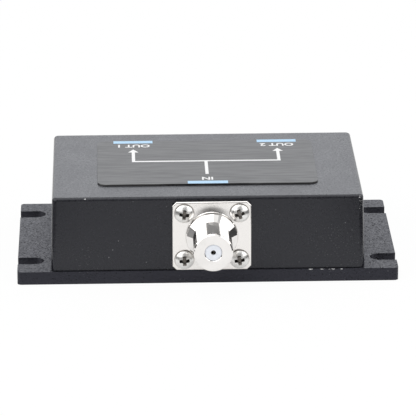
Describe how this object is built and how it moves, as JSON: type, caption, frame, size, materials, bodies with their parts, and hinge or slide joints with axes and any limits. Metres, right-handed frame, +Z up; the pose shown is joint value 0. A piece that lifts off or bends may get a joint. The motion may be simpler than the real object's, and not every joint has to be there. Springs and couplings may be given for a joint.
{
  "type": "rf power splitter",
  "caption": "Low black metal box on a base plate with slotted ears, dividing a radio signal from one threaded coaxial port to two on the opposite side.",
  "frame": {"origin": "middle of the part's box, on the underside of the base plate", "axes": "+X to the right along the box, +Y from the input port to the output ports, +Z up"},
  "size_m": [0.0924, 0.0752, 0.0222],
  "materials": {
    "paint": "fine satin black paint",
    "nameplate": "brushed, black anodised",
    "nickel": "bright nickel plate",
    "steel": "plated screws",
    "insulator": "white, waxy",
    "contact": "tin-plated",
    "laminate": "green board",
    "copper": "bare copper",
    "resistor": "chip resistor",
    "solder": "soft solder"
  },
  "bodies": {
    "root": {"housing": "paint", "base_plate": "paint", "nameplate": "nameplate", "input_connector_body": "nickel", "input_insulator": "insulator", "input_contact": "contact", "input_flange_screws": "steel", "output_1_connector_body": "nickel", "output_1_insulator": "insulator", "output_1_contact": "contact", "output_1_flange_screws": "steel", "output_2_connector_body": "nickel", "output_2_insulator": "insulator", "output_2_contact": "contact", "output_2_flange_screws": "steel", "circuit_board": "laminate", "divider_track": "copper", "isolation_resistors": "resistor", "solder_joints": "solder", "board_screws": "steel", "cover_screws": "steel"}
  },
  "joints": []
}
